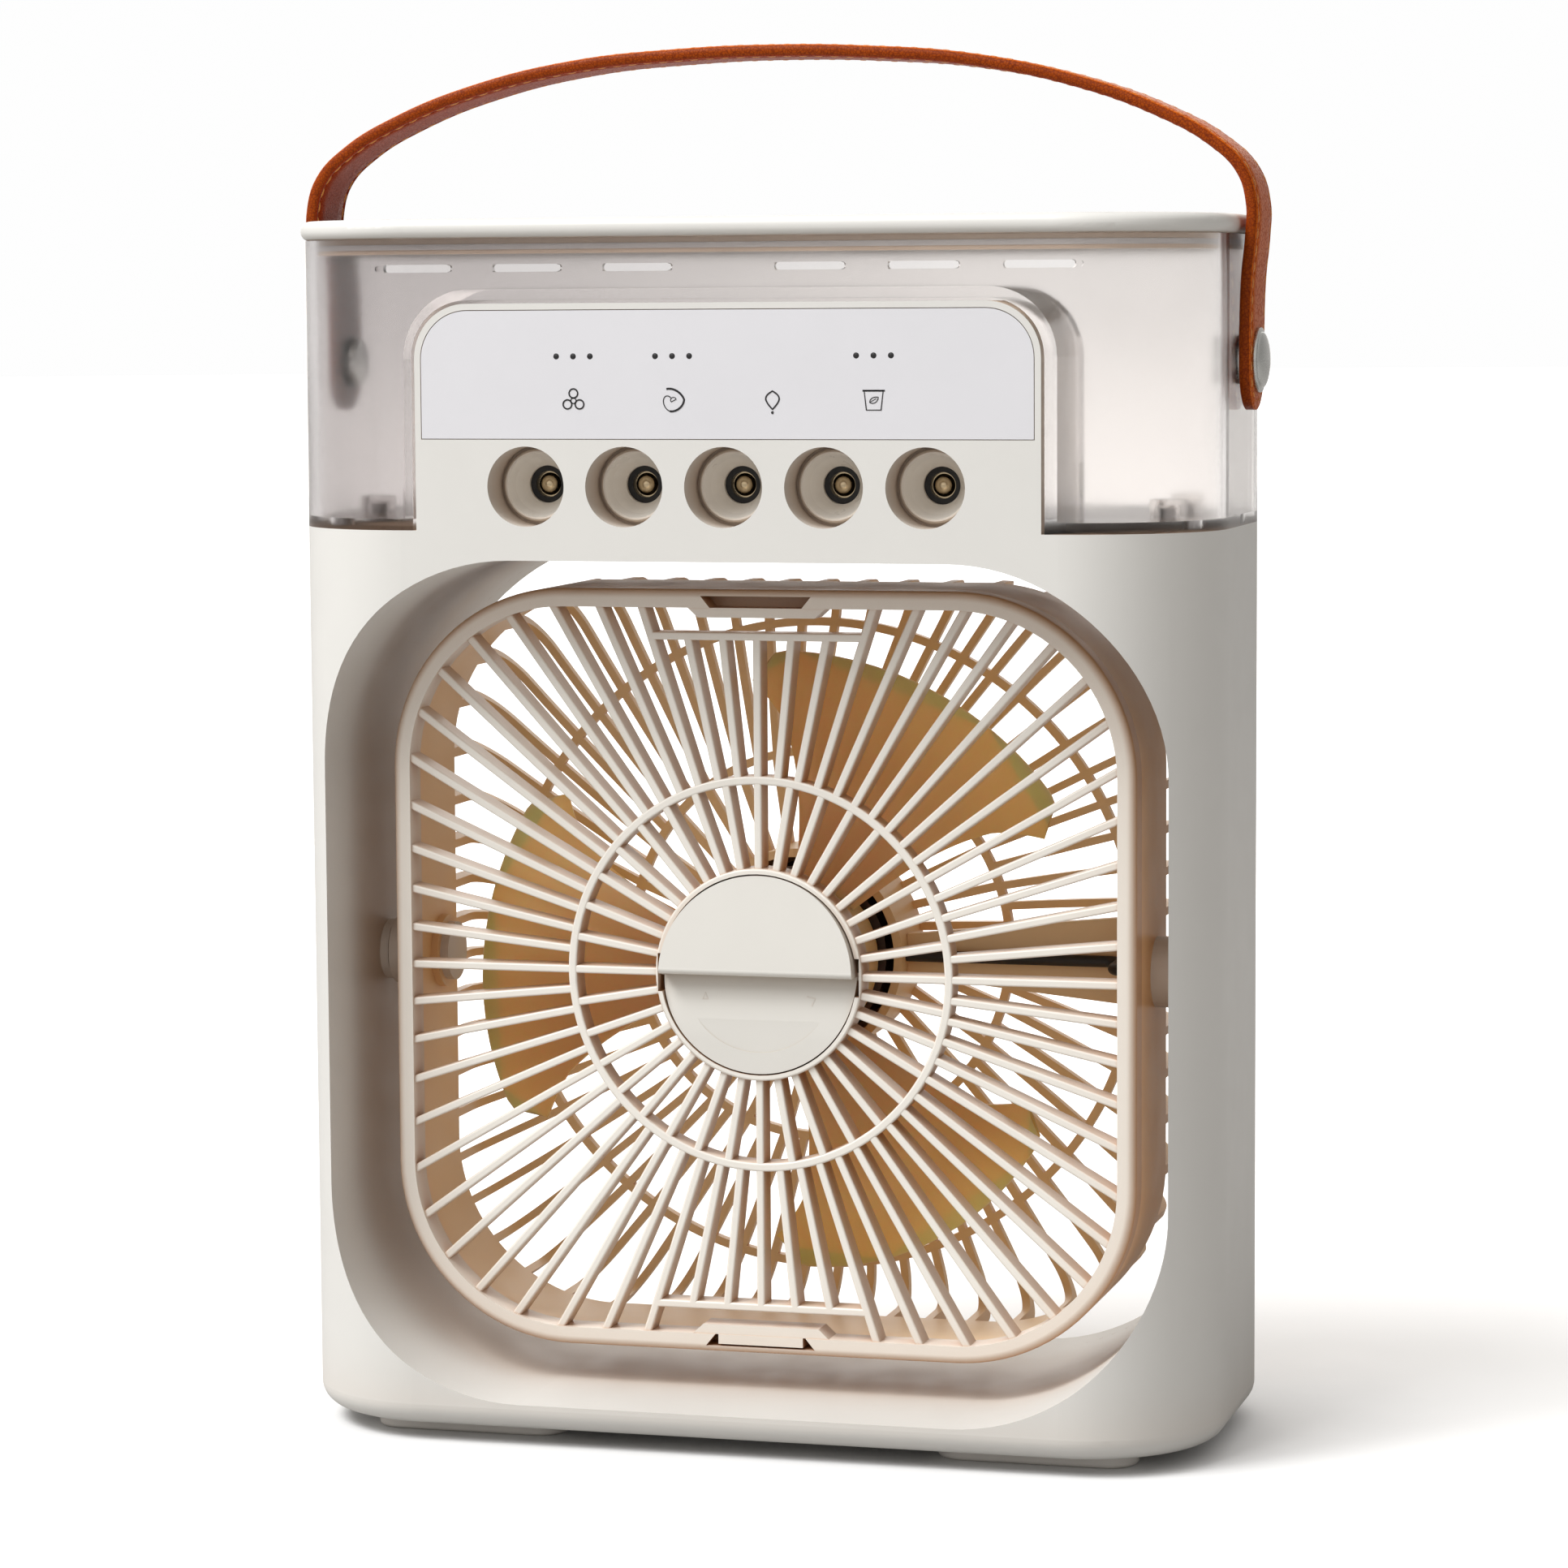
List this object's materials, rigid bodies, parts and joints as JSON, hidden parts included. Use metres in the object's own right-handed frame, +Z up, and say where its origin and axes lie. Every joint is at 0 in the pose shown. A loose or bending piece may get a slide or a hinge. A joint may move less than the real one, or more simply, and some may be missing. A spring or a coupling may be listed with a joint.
{
  "type": "desktop mist fan",
  "caption": "Desktop fan with a square head tilting in an open window, a clear water tank with mist nozzles above it, and a leather strap.",
  "frame": {"origin": "middle of the footprint, on the surface that the fan stands on", "axes": "+Z up, -Y the front with the grille and nozzles, +X right seen from the front"},
  "size_m": [0.1848, 0.0816, 0.259],
  "materials": {
    "body_white": "satin moulded plastic",
    "nozzle_white": "satin moulded plastic",
    "grille_ivory": "satin moulded plastic",
    "duct_ivory": "satin moulded plastic",
    "blade_amber": "smooth moulded plastic",
    "tank_clear": "smoky clear plastic",
    "light_clear": "clear plastic",
    "touch_sheet": "glossy sheet",
    "foot_rubber": "soft rubber",
    "seal_rubber": "silicone",
    "seal_black": "soft rubber",
    "strap_leather": "stitched leather",
    "rivet_metal": "domed nickel",
    "screw_steel": "plated",
    "shaft_steel": "ground",
    "motor_metal": "plated can",
    "disc_metal": "polished disc",
    "board_green": "board",
    "socket_metal": "plated",
    "pad_metal": "plated",
    "led_white": "lens",
    "wick_cotton": "pressed cotton",
    "lead_black": "insulated lead"
  },
  "bodies": {
    "housing": {"front_shell": "body_white", "rear_shell": "body_white", "base_cover": "body_white", "foot_pads": "foot_rubber", "base_screws": "screw_steel", "rear_screws": "screw_steel", "usb_socket": "socket_metal", "power_board": "board_green", "pivot_bush_left": "body_white", "pivot_bush_right": "body_white", "water_tank": "tank_clear", "tank_screws": "screw_steel", "control_module": "body_white", "module_back": "body_white", "module_screws": "screw_steel", "control_overlay": "touch_sheet", "control_board": "board_green", "touch_pads": "pad_metal", "indicator_leds": "led_white", "nozzle_cups": "nozzle_white", "mist_discs": "disc_metal", "disc_seals": "seal_black", "wick_sticks": "wick_cotton", "wick_grommets": "seal_rubber", "light_board": "board_green", "light_guide": "light_clear", "rivet_left": "rivet_metal", "rivet_right": "rivet_metal", "rivet_washer_left": "rivet_metal", "rivet_washer_right": "rivet_metal"},
    "lid": {"tank_lid": "body_white", "lid_seal": "seal_rubber"},
    "head": {"front_grille": "grille_ivory", "grille_latch": "grille_ivory", "head_shell": "duct_ivory", "rear_guard": "duct_ivory", "motor": "motor_metal", "motor_screws": "screw_steel", "motor_arm": "duct_ivory", "motor_lead": "lead_black", "pivot_pin_left": "body_white", "pivot_pin_right": "body_white"},
    "knob": {"centre_knob": "grille_ivory"},
    "fan": {"impeller": "blade_amber", "motor_shaft": "shaft_steel", "hub_nut": "screw_steel"},
    "handle": {"handle_strap": "strap_leather"}
  },
  "joints": [
    {"name": "head_tilt", "type": "hinge", "parent": "housing", "child": "head", "pos_m": [0, 0.002, 0.087], "axis": [1, 0, 0], "range_deg": [-45, 45]},
    {"name": "fan_spin", "type": "hinge", "parent": "head", "child": "fan", "pos_m": [0, 0, 0.087], "axis": [0, 1, 0], "continuous": true},
    {"name": "knob_twist", "type": "hinge", "parent": "head", "child": "knob", "pos_m": [0, -0.018, 0.087], "axis": [0, 1, 0], "range_deg": [-8, 8]},
    {"name": "handle_swing", "type": "hinge", "parent": "housing", "child": "handle", "pos_m": [0, 0, 0.2005], "axis": [1, 0, 0], "range_deg": [-15, 15]},
    {"name": "lid_lift", "type": "slide", "parent": "housing", "child": "lid", "axis": [0, 0, 1], "range_m": [0, 0.003]}
  ]
}
